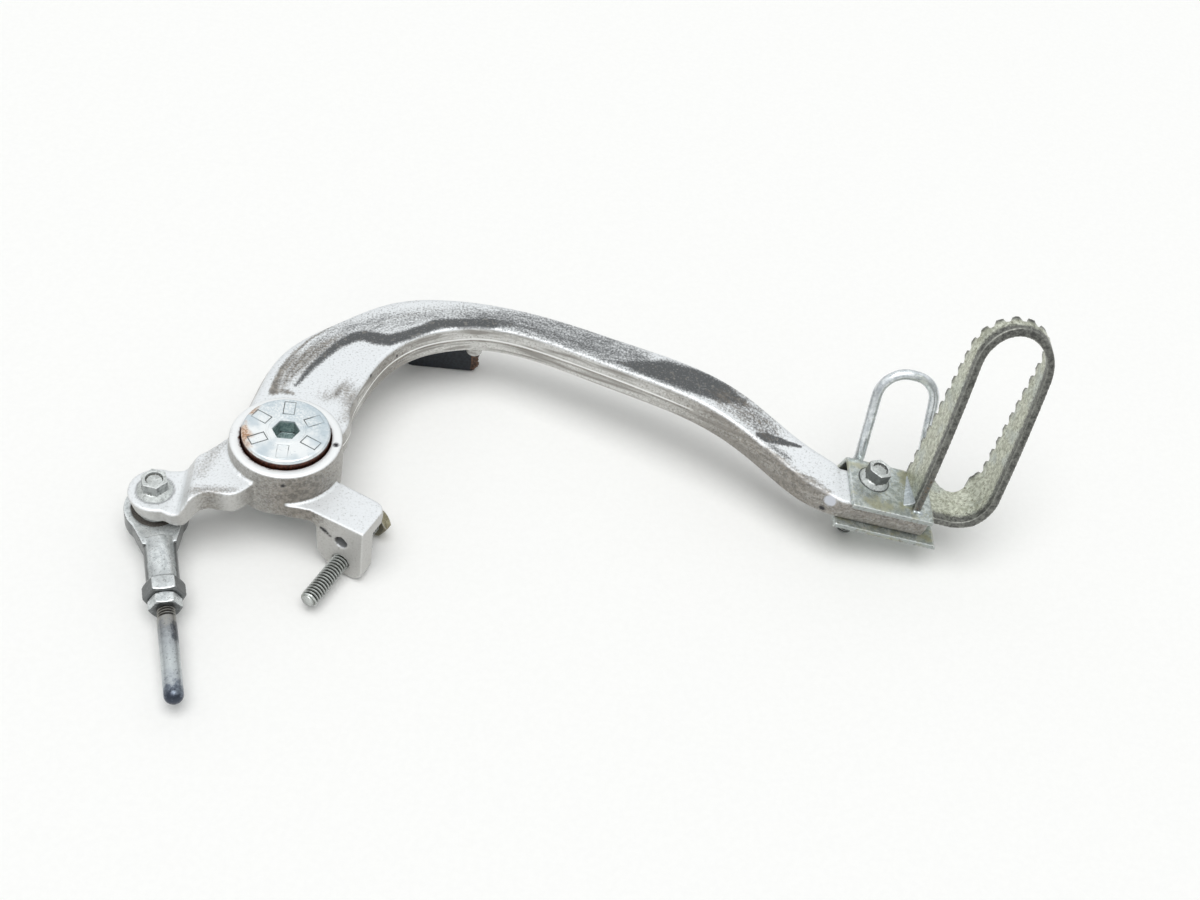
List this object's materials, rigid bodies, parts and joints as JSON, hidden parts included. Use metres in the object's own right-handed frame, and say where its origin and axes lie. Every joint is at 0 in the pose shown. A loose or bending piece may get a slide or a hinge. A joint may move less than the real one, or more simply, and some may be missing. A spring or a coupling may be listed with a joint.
{
  "type": "rear brake pedal",
  "caption": "Arched forged rear brake pedal with a pivot bolt, a ball-jointed push rod, a stop bolt and a toothed folded-strip toe piece.",
  "frame": {"origin": "on the pivot axis, where the pivot bolt's shoulder seats on the frame, at the inner end of the pedal's boss", "axes": "+Z along the pivot axis, away from the motorcycle; +X towards the toe piece; +Y up on the motorcycle"},
  "size_m": [0.3096, 0.1721, 0.0899],
  "materials": {
    "forged_aluminium": "blasted and worn",
    "zinc_steel": "bright zinc plated",
    "rod_steel": "worn and mottled",
    "ball_steel": "polished",
    "toe_steel": "yellowed zinc plated",
    "bearing_bronze": "plain",
    "joint_liner": "matt",
    "black_rubber": "matt"
  },
  "bodies": {
    "mounting": {"pivot_bolt": "zinc_steel"},
    "pedal": {"pedal_arm": "forged_aluminium", "upper_bush": "bearing_bronze", "lower_bush": "bearing_bronze", "upper_seal": "black_rubber", "lower_seal": "black_rubber", "rod_bolt": "zinc_steel", "rod_nut": "zinc_steel", "stop_bolt": "zinc_steel", "stop_nut": "zinc_steel", "toe_bracket": "toe_steel", "toe_claw": "toe_steel", "guard_wire": "zinc_steel", "toe_bolt": "zinc_steel", "rubber_bumper": "black_rubber"},
    "ball": {"eye_ball": "ball_steel"},
    "rod": {"eye_liner": "joint_liner", "rod_end": "zinc_steel", "lock_nut": "zinc_steel", "push_rod": "rod_steel"}
  },
  "joints": [
    {"name": "pedal_pivot", "type": "hinge", "parent": "mounting", "child": "pedal", "pos_m": [0, 0, 0], "axis": [0, 0, 1], "range_deg": [-15, 5]},
    {"name": "rod_swing", "type": "hinge", "parent": "pedal", "child": "ball", "pos_m": [-0.0402, -0.0188, -0.0033], "axis": [0, 0, 1], "range_deg": [-50, 36]},
    {"name": "rod_tilt", "type": "hinge", "parent": "ball", "child": "rod", "pos_m": [-0.0402, -0.0188, -0.0033], "axis": [0.9724, 0.2334, 0], "range_deg": [-3.5, 3]}
  ]
}
